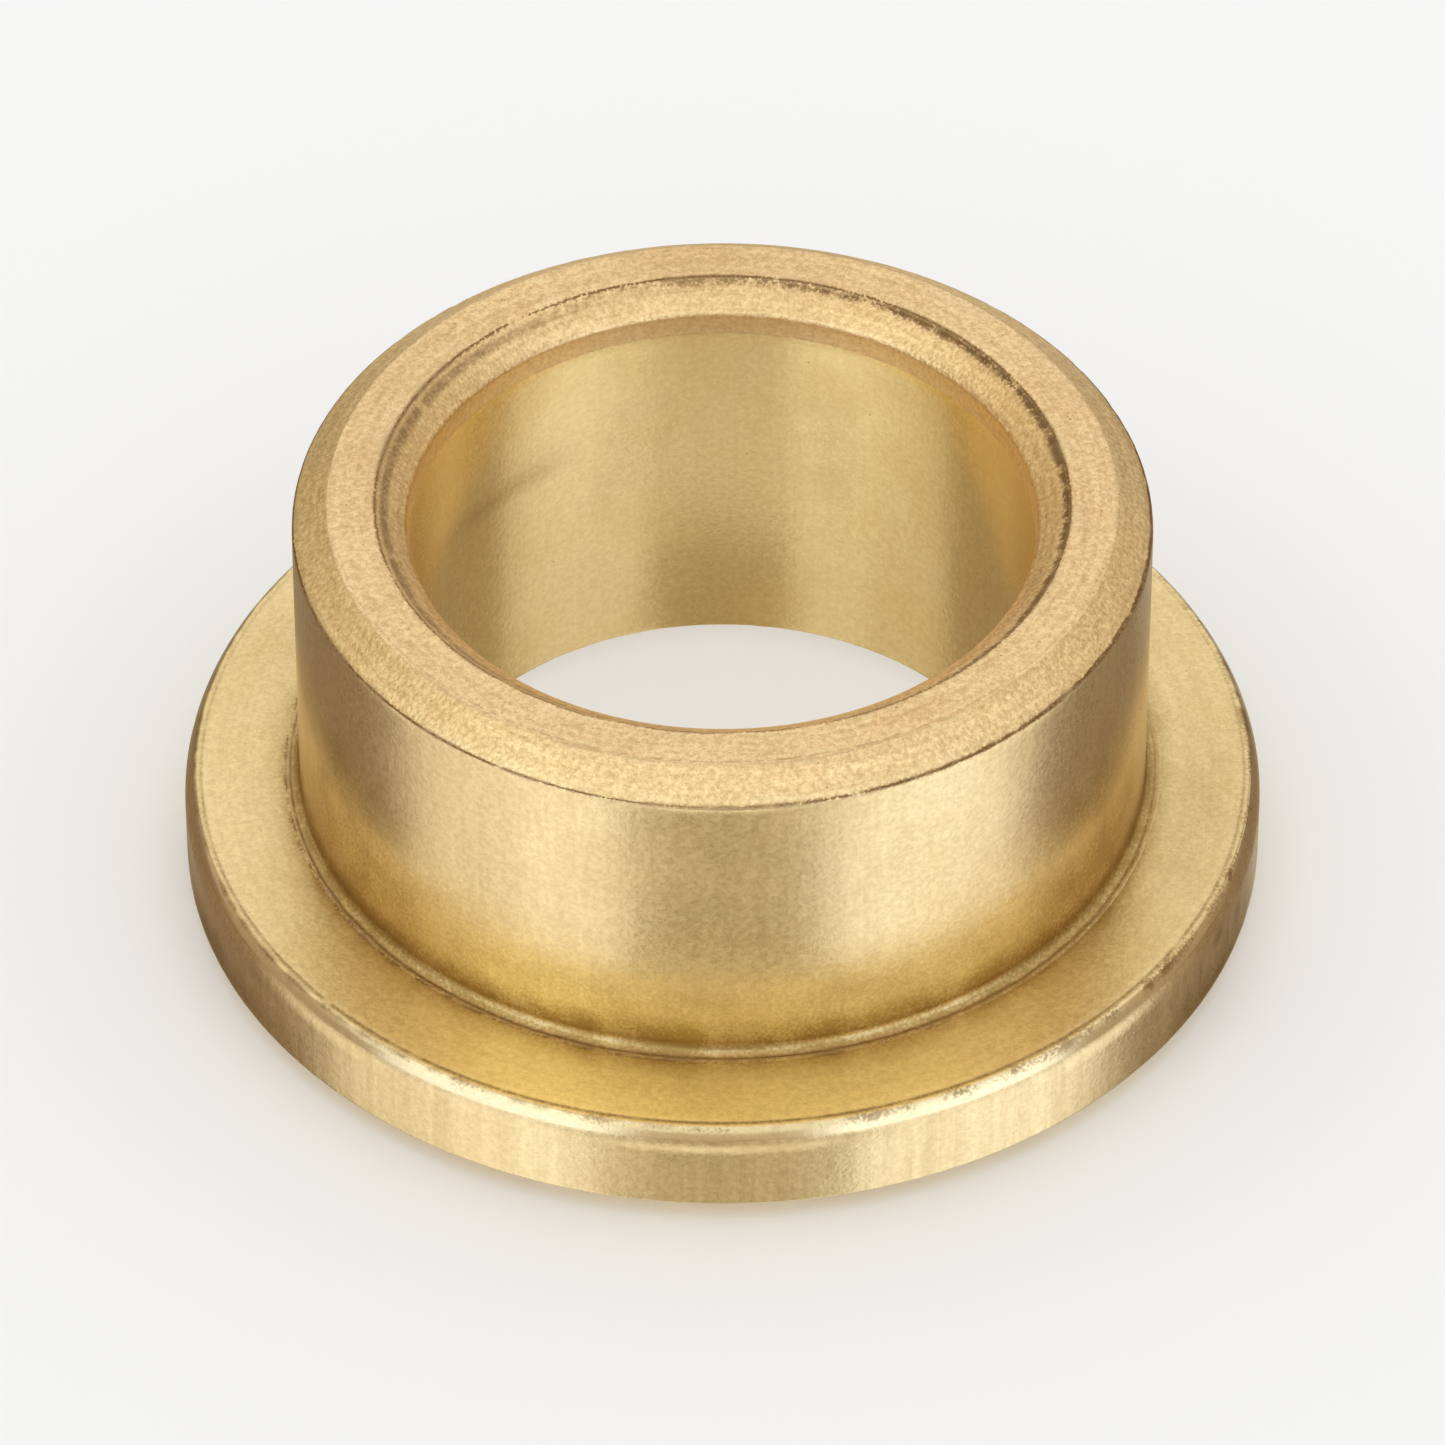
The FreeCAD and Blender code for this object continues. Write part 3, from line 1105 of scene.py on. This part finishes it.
@dataclass(frozen=True)
class Finish:
    """How one zone's metal looks. Lengths are in millimetres and shares from 0 to 1."""

    tint: Colour
    tarnish: Colour
    roughness: float
    patch_size: float = 2.5
    patch_share: float = 0.35
    grain_size: float = 0.12
    grain_height: float = 0.002
    grain_tint: float = 0.10
    ring_pitch: float = 0.16
    ring_height: float = 0.0008
    ring_tint: float = 0.05
    streak_height: float = 0.0
    streak_tint: float = 0.0
    pore_spacing: float = 0.45
    pore_share: float = 0.12
    pore_radius: float = 0.16
    pore_depth: float = 0.020
    seed: float = 0.0


@dataclass(frozen=True)
class Oxide:
    """The colours that every zone's marks share, and how much the marks change the roughness."""

    grime: Colour = (0.26, 0.13, 0.045)
    # The stain and film colours below are also the colours of the painted shade bands.
    stain: Colour = (0.31, 0.20, 0.095)
    film: Colour = (0.45, 0.295, 0.105)
    pit: Colour = (0.30, 0.17, 0.07)
    rubbed: Colour = (0.93, 0.76, 0.45)
    shade_fall: Colour = (0.80, 1.05, 1.50)
    light_rise: Colour = (0.90, 1.00, 1.00)
    tone_from: tuple[float, float] = (0.3, 0.7)
    pit_cover: float = 0.8
    patch_rough: float = 0.06
    film_and_shade_rough: float = 0.04
    grime_rough: float = 0.25
    stain_and_shade_rough: float = 0.15
    shine_smooth: float = 0.12


class MetalShop:
    """Makes the brass of every zone from the shared effects."""

    def __init__(self) -> None:
        """Builds the shared effects once."""
        self.grain = PressedGrain()
        self.rings = ToolLines()
        self.streaks = DrawStreaks()
        self.pores = Pores()
        self.patches = Patches()
        self.edges = WornEdges()
        self.oxide = Oxide()

    def material(self, zone: Zone, finish: Finish) -> bpy.types.Material:
        """Makes one zone's material.

        Args:
            zone: the zone, which names it.
            finish: how it looks.

        Returns:
            The material.
        """
        material = bpy.data.materials.new(f"brass_{zone.value}")
        material.use_nodes = True
        bench = Bench(material.node_tree)
        marks = self._marks(bench, finish)
        rises = {
            "height": finish.grain_height,
            "lines": finish.ring_height,
            "streaks": finish.streak_height,
            "pits": -finish.pore_depth,
        }
        roughens = {
            "mask": self.oxide.patch_rough,
            "mottle": finish.grain_tint,
            "film": self.oxide.film_and_shade_rough,
            "grime": self.oxide.grime_rough,
            "stain": self.oxide.stain_and_shade_rough,
            "shine": -self.oxide.shine_smooth,
        }
        height = self._summed(bench, 0.0, marks, rises)
        bump = bench.add("ShaderNodeBump", {"Height": height, "Distance": MM})
        inputs = {
            "Base Color": self._colour(bench, finish, marks),
            "Roughness": self._summed(bench, finish.roughness, marks, roughens, clamp=True),
            "Metallic": 1.0,
            "Normal": bump.outputs[0],
        }
        shader = bench.add("ShaderNodeBsdfPrincipled", inputs)
        bench.add("ShaderNodeOutputMaterial", {"Surface": shader.outputs[0]})
        return material

    def _marks(self, bench: Bench, finish: Finish) -> Sockets:
        """Places the shared effects with a finish's own values.

        Args:
            bench: the material's tree.
            finish: how it looks.

        Returns:
            The outputs of all of them, by name.
        """
        pores = {"spacing": finish.pore_spacing, "share": finish.pore_share, "radius": finish.pore_radius}
        return {
            **self.grain.put(bench, size=finish.grain_size, seed=finish.seed),
            **self.rings.put(bench, per_mm=1.0 / finish.ring_pitch, seed=finish.seed),
            **self.streaks.put(bench, seed=finish.seed),
            **self.pores.put(bench, **pores),
            **self.patches.put(bench, size=finish.patch_size, seed=finish.seed),
            **self.edges.put(bench),
        }

    def _colour(self, bench: Bench, finish: Finish, marks: Sockets) -> Input:
        """The metal's colour, toned by its patterns and covered by its marks, some of which are painted
        shade.

        Args:
            bench: the material's tree.
            finish: how it looks.
            marks: the effects' outputs.

        Returns:
            The output socket.
        """
        patched = bench.math("MULTIPLY", marks["mask"], finish.patch_share)
        colour: Input = bench.blend(patched, finish.tint, finish.tarnish)
        for name, amount in (
            ("mottle", finish.grain_tint),
            ("lines", finish.ring_tint),
            ("streaks", finish.streak_tint),
        ):
            colour = self._toned(bench, colour, marks[name], amount)
        for share, cover in (
            (marks["film"], self.oxide.film),
            (bench.math("MULTIPLY", marks["pits"], self.oxide.pit_cover), self.oxide.pit),
            (marks["grime"], self.oxide.grime),
            (marks["stain"], self.oxide.stain),
            (marks["shine"], self.oxide.rubbed),
        ):
            colour = bench.blend(share, colour, cover)
        return colour

    def _summed(
        self, bench: Bench, start: float, marks: Sockets, amounts: dict[str, float], clamp: bool = False,
    ) -> Input:
        """A number that the marks raise or lower, each by its own amount.

        Args:
            bench: the material's tree.
            start: the number without any mark.
            marks: the effects' outputs.
            amounts: how much each of them adds, by name.
            clamp: whether to keep the result from 0 to 1.

        Returns:
            The output socket.
        """
        total: Input = start
        for name, amount in amounts.items():
            total = bench.plus(total, marks[name], amount, clamp)
        return total

    def _toned(self, bench: Bench, colour: Input, pattern: Input, amount: float) -> Input:
        """A colour made lighter where a pattern is high, and darker and browner where it is low.

        Args:
            bench: the material's tree.
            colour: the colour.
            pattern: the pattern, from about 0.3 to 0.7.
            amount: by how much.

        Returns:
            The output socket, or the colour itself if the amount is nothing.
        """
        if not amount:
            return colour
        shade = tuple(1.0 - amount * fall for fall in self.oxide.shade_fall)
        light = tuple(1.0 + amount * rise for rise in self.oxide.light_rise)
        tone = bench.blend(bench.span(pattern, *self.oxide.tone_from), shade, light)
        return bench.blend(1.0, colour, tone, "MULTIPLY")


WALL = Finish(
    tint=(0.88, 0.70, 0.405), tarnish=(0.83, 0.62, 0.32), roughness=0.21,
    grain_size=0.14, grain_height=0.0036, grain_tint=0.12, ring_height=0.0, ring_tint=0.0,
    streak_height=0.0010, streak_tint=0.035, pore_spacing=0.32, pore_share=0.12, pore_radius=0.12,
    pore_depth=0.0,
)

FINISHES: dict[Zone, Finish] = {
    Zone.SLEEVE: WALL,
    Zone.FOOT: replace(
        WALL, tint=(0.86, 0.66, 0.36), tarnish=(0.68, 0.46, 0.21), roughness=0.28,
        patch_size=0.6, patch_share=0.9, grain_height=0.0120, grain_tint=0.28,
    ),
    Zone.BORE: replace(
        WALL, tint=(0.88, 0.68, 0.34), tarnish=(0.81, 0.59, 0.25), roughness=0.18,
        grain_tint=0.08, streak_tint=0.02, pore_share=0.06, seed=7.0,
    ),
    Zone.BORE_TAPER: replace(
        WALL, tint=(0.85, 0.64, 0.36), tarnish=(0.79, 0.57, 0.29), roughness=0.33, seed=11.0,
        grain_size=0.12, grain_height=0.0070, grain_tint=0.14, streak_tint=0.0, pore_share=0.10,
    ),
    Zone.RIM: replace(WALL, tint=(0.88, 0.70, 0.41), grain_tint=0.10, streak_tint=0.08, seed=13.0),
    Zone.SEAT_BEVEL: replace(
        WALL, tint=(0.89, 0.72, 0.44), roughness=0.16, patch_share=0.15, seed=17.0,
        grain_height=0.0012, grain_tint=0.05, streak_height=0.0005, streak_tint=0.02, pore_share=0.10,
    ),
    Zone.SEAT: replace(
        WALL, tint=(0.89, 0.72, 0.39), tarnish=(0.86, 0.66, 0.33), roughness=0.25, seed=19.0,
        grain_height=0.0042, grain_tint=0.11, ring_height=0.0006, ring_tint=0.03,
        streak_height=0.0, streak_tint=0.0,
    ),
    Zone.END: Finish(
        tint=(0.89, 0.68, 0.41), tarnish=(0.86, 0.60, 0.35), roughness=0.36, seed=23.0,
        patch_size=1.8, patch_share=0.4, grain_size=0.11, grain_height=0.0190, grain_tint=0.22,
        ring_height=0.0030, ring_tint=0.07, pore_spacing=0.24, pore_share=0.25, pore_radius=0.17,
    ),
    Zone.SLEEVE_LEAD: Finish(
        tint=(0.86, 0.655, 0.375), tarnish=(0.82, 0.59, 0.32), roughness=0.32, seed=29.0,
        grain_size=0.12, grain_height=0.0150, grain_tint=0.22, ring_height=0.0030, ring_tint=0.08,
        pore_spacing=0.26, pore_share=0.22,
    ),
    Zone.BORE_LEAD: Finish(
        tint=(0.88, 0.655, 0.38), tarnish=(0.80, 0.56, 0.29), roughness=0.32, seed=31.0,
        grain_size=0.12, grain_height=0.0160, grain_tint=0.22, ring_height=0.0030, ring_tint=0.09,
        pore_spacing=0.26, pore_share=0.22,
    ),
    Zone.OUTER_FACE: Finish(
        tint=(0.89, 0.72, 0.44), tarnish=(0.87, 0.63, 0.38), roughness=0.46, seed=37.0,
        grain_size=0.11, grain_height=0.0110, grain_tint=0.14, ring_height=0.0015, ring_tint=0.05,
        pore_spacing=0.28, pore_share=0.18,
    ),
    Zone.RIM_BEVEL: Finish(
        tint=(0.87, 0.68, 0.39), tarnish=(0.81, 0.59, 0.32), roughness=0.34, seed=41.0,
        grain_height=0.0080, grain_tint=0.16, ring_height=0.0015, ring_tint=0.06,
    ),
    Zone.MOUTH: Finish(
        tint=(0.86, 0.66, 0.37), tarnish=(0.80, 0.57, 0.30), roughness=0.34, seed=43.0,
        grain_height=0.0080, grain_tint=0.14, ring_height=0.0020, ring_tint=0.06,
    ),
}


@dataclass(frozen=True)
class SoftPanel:
    """A soft patch of studio light or shade, by direction from the bushing, in degrees.

    azimuth runs from the front towards the right, and soft is how wide its border is.
    """

    azimuth: float
    half_width: float
    lowest: float
    highest: float
    light: Colour
    soft: float = 8.0


@dataclass(frozen=True)
class Studio:
    """Soft light from all round, laid out as panels, with a pale table under the bushing."""

    backdrop: Colour = (0.93, 0.93, 0.925)
    table_light: Colour = (1.04, 1.04, 1.04)
    base: Colour = (0.90, 0.88, 0.82)
    panels: tuple[SoftPanel, ...] = (
        SoftPanel(112.0, 34.0, 12.0, 55.0, (0.60, 0.49, 0.33)),
        SoftPanel(-112.0, 34.0, 12.0, 55.0, (0.60, 0.49, 0.33)),
        SoftPanel(103.0, 26.0, 36.0, 58.0, (0.98, 0.97, 0.90)),
        SoftPanel(-103.0, 26.0, 36.0, 58.0, (0.96, 0.94, 0.80)),
        SoftPanel(143.0, 16.0, -10.0, 28.0, (0.62, 0.60, 0.53)),
        SoftPanel(-143.0, 16.0, -10.0, 28.0, (0.53, 0.49, 0.35)),
        SoftPanel(0.0, 200.0, 56.0, 95.0, (1.00, 0.94, 0.88)),
        SoftPanel(0.0, 20.0, 24.0, 56.0, (1.02, 1.08, 0.96)),
        SoftPanel(-48.0, 24.0, 24.0, 56.0, (1.42, 1.58, 1.55)),
        SoftPanel(48.0, 24.0, 24.0, 56.0, (1.10, 1.22, 1.26)),
        SoftPanel(0.0, 200.0, -95.0, -4.0, (0.40, 0.35, 0.225), 6.0),
        SoftPanel(-60.0, 33.0, -95.0, -10.0, (0.92, 0.89, 0.80), 5.0),
        SoftPanel(-41.0, 15.0, -95.0, -10.0, (1.14, 1.15, 1.14), 6.0),
        SoftPanel(59.0, 31.0, -95.0, -10.0, (1.08, 1.08, 1.05), 5.0),
        SoftPanel(52.0, 24.0, -95.0, -10.0, (1.13, 1.17, 1.20), 6.0),
        SoftPanel(122.0, 32.0, -95.0, 0.0, (0.27, 0.205, 0.14), 5.0),
        SoftPanel(-126.0, 31.0, -95.0, 0.0, (0.25, 0.18, 0.12), 5.0),
        SoftPanel(180.0, 26.0, -95.0, 0.0, (0.52, 0.46, 0.36), 8.0),
        SoftPanel(-160.0, 11.0, -95.0, -24.0, (0.30, 0.24, 0.16), 6.0),
        SoftPanel(180.0, 20.0, -95.0, -45.0, (1.40, 1.42, 1.40), 5.0),
        SoftPanel(86.0, 26.0, -10.0, 14.0, (0.42, 0.35, 0.24), 6.0),
        SoftPanel(-86.0, 26.0, -10.0, 14.0, (0.42, 0.35, 0.24), 6.0),
        SoftPanel(0.0, 22.0, -34.0, -15.0, (1.02, 1.01, 0.93), 5.0),
        SoftPanel(0.0, 18.0, 2.0, 26.0, (0.56, 0.48, 0.35), 6.0),
        SoftPanel(0.0, 18.0, -11.0, 3.0, (0.34, 0.27, 0.16), 5.0),
        SoftPanel(-43.0, 23.0, -5.0, 24.0, (1.30, 1.40, 1.55), 5.0),
        SoftPanel(43.0, 24.0, -5.0, 24.0, (1.42, 1.54, 1.72), 5.0),
    )
    table_size: float = 6.0
    table_colour: Colour = (0.90, 0.90, 0.895)
    patch_sides: int = 64
    patch_lift: float = 0.00001
    patch_share: float = 0.55
    patch_look: Colour = (1.0, 0.99, 0.97)
    patch_near: Colour = (0.86, 0.84, 0.80)
    patch_far: Colour = (0.44, 0.36, 0.23)
    patch_fade: tuple[float, float] = (0.001, 0.0055)

    def build(self) -> None:
        """Makes the light and the table."""
        self._light()
        self._table()

    def _light(self) -> None:
        """Lays the panels over one another in the world."""
        world = bpy.data.worlds.new("soft_studio")
        world.use_nodes = True
        bpy.context.scene.world = world
        bench = Bench(world.node_tree)
        direction = bench.add("ShaderNodeTexCoord").outputs["Generated"]
        height = bench.add("ShaderNodeSeparateXYZ", {0: direction}).outputs[2]
        level = bench.level(direction)
        light: Input = self.base
        for panel in self.panels:
            light = bench.blend(self._mask(bench, panel, level, height), light, panel.light)
        path = bench.add("ShaderNodeLightPath")
        glow = bench.add("ShaderNodeBackground", {0: light}).outputs[0]
        for ray, colour in (("Is Diffuse Ray", self.table_light), ("Is Camera Ray", self.backdrop)):
            plain = bench.add("ShaderNodeBackground", {0: colour}).outputs[0]
            glow = bench.either(path.outputs[ray], glow, plain)
        bench.add("ShaderNodeOutputWorld", {0: glow})
        world.cycles.sampling_method = "NONE"

    def _mask(self, bench: Bench, panel: SoftPanel, level: Input, height: Input) -> Socket:
        """Where a panel lies in the world.

        Args:
            bench: the world's tree.
            panel: the panel.
            level: the direction with its height taken away, as a unit vector.
            height: the sine of its elevation.

        Returns:
            The output socket, 1 inside the panel and 0 outside.
        """
        angle = math.radians(panel.azimuth)
        inputs = {0: level, 1: (math.sin(angle), -math.cos(angle), 0.0)}
        towards = bench.add("ShaderNodeVectorMath", inputs, operation="DOT_PRODUCT")
        away = bench.math("ARCCOSINE", towards.outputs["Value"])
        soft = math.radians(panel.soft) / 2
        half = math.radians(panel.half_width)
        inside = bench.span(away, half + soft, half - soft)
        for edge, sign in ((panel.lowest, 1.0), (panel.highest, -1.0)):
            upright = max(-RIGHT_ANGLE, min(RIGHT_ANGLE, edge))
            outer = math.sin(math.radians(upright)) - sign * soft
            inner = outer + 2 * sign * soft
            inside = bench.math("MULTIPLY", inside, bench.span(height, outer, inner))
        return inside

    def _table(self) -> None:
        """Makes the pale table, which the metal doesn't mirror, and the painted glow on it under the bore,
        which the metal mirrors and the camera sees.
        """
        half = self.table_size / 2
        corners = [(-half, -half, 0.0), (half, -half, 0.0), (half, half, 0.0), (-half, half, 0.0)]
        table, bench = self._sheet("table", corners)
        matte = bench.add("ShaderNodeBsdfDiffuse", {"Color": self.table_colour})
        bench.add("ShaderNodeOutputMaterial", {"Surface": matte.outputs[0]})
        table.visible_glossy = False
        table.visible_shadow = False
        self._patch()

    def _patch(self) -> None:
        """Makes the glow on the table under the bore, brighter towards the camera's side."""
        section = Section.from_frame()
        radius = section.mouth()[-1].radius * MM
        turns = np.linspace(0.0, math.tau, self.patch_sides, endpoint=False)
        ring = [(radius * math.cos(turn), radius * math.sin(turn), 0.0) for turn in turns]
        patch, bench = self._sheet("table_in_bore", ring)
        patch.location.z = self.patch_lift
        patch.visible_diffuse = False
        patch.visible_shadow = False
        where = bench.add("ShaderNodeTexCoord").outputs["Object"]
        depth = bench.add("ShaderNodeSeparateXYZ", {0: where}).outputs[1]
        mirrored = bench.blend(bench.span(depth, *self.patch_fade), self.patch_near, self.patch_far)
        path = bench.add("ShaderNodeLightPath").outputs["Is Camera Ray"]
        clear = bench.add("ShaderNodeBsdfTransparent").outputs[0]
        glow = bench.add("ShaderNodeEmission", {"Color": mirrored}).outputs[0]
        look = bench.add("ShaderNodeEmission", {"Color": self.patch_look}).outputs[0]
        glow, look = (bench.either(self.patch_share, clear, light) for light in (glow, look))
        bench.add("ShaderNodeOutputMaterial", {"Surface": bench.either(path, glow, look)})

    def _sheet(self, name: str, corners: list[Point]) -> tuple[bpy.types.Object, Bench]:
        """Makes one flat sheet of the table.

        Args:
            name: its name.
            corners: its corners.

        Returns:
            The sheet and its material's empty tree.
        """
        mesh = bpy.data.meshes.new(name)
        mesh.from_pydata(corners, [], [tuple(range(len(corners)))])
        material = bpy.data.materials.new(name)
        material.use_nodes = True
        mesh.materials.append(material)
        sheet = bpy.data.objects.new(name, mesh)
        bpy.context.scene.collection.objects.link(sheet)
        return sheet, Bench(material.node_tree)


@dataclass(frozen=True)
class ViewCamera:
    """The camera, at the photograph's angle, in metres and degrees."""

    elevation: float = 42.1
    distance: float = 0.290
    frame_width: float = 0.0375
    sensor: float = 36.0
    lowered: float = 0.0017
    nearest: float = 0.029
    farthest: float = 290.0

    def build(self, target: Vector) -> None:
        """Makes the camera.

        Args:
            target: the point in the middle of its frame.
        """
        data = bpy.data.cameras.new("view")
        data.sensor_width = self.sensor
        data.lens = self.sensor * self.distance / self.frame_width
        data.clip_start = self.nearest
        data.clip_end = self.farthest
        angle = math.radians(self.elevation)
        back = Vector((0.0, -math.cos(angle), math.sin(angle)))
        camera = bpy.data.objects.new("view", data)
        camera.location = target - Vector((0.0, 0.0, self.lowered)) + back * self.distance
        camera.rotation_euler = (-back).to_track_quat("-Z", "Y").to_euler()
        bpy.context.scene.collection.objects.link(camera)
        bpy.context.scene.camera = camera


def main() -> None:
    """Builds the bushing, its finishes, the studio and the camera, in that order."""
    logging.basicConfig(level=logging.INFO)
    bpy.context.scene.view_settings.view_transform = "Standard"
    shop = MetalShop()
    finishes = {zone: shop.material(zone, FINISHES[zone]) for zone in Zone}
    log.info("finishes made: %d", len(finishes))
    piece = BushingBody().build(finishes)
    log.info("%s: %d points, %d faces", piece.name, len(piece.data.vertices), len(piece.data.polygons))
    Studio().build()
    low, high = CAD_BOX
    ViewCamera().build((low + high) / 2)
    log.info("studio and camera made")


if __name__ == "__main__":
    main()
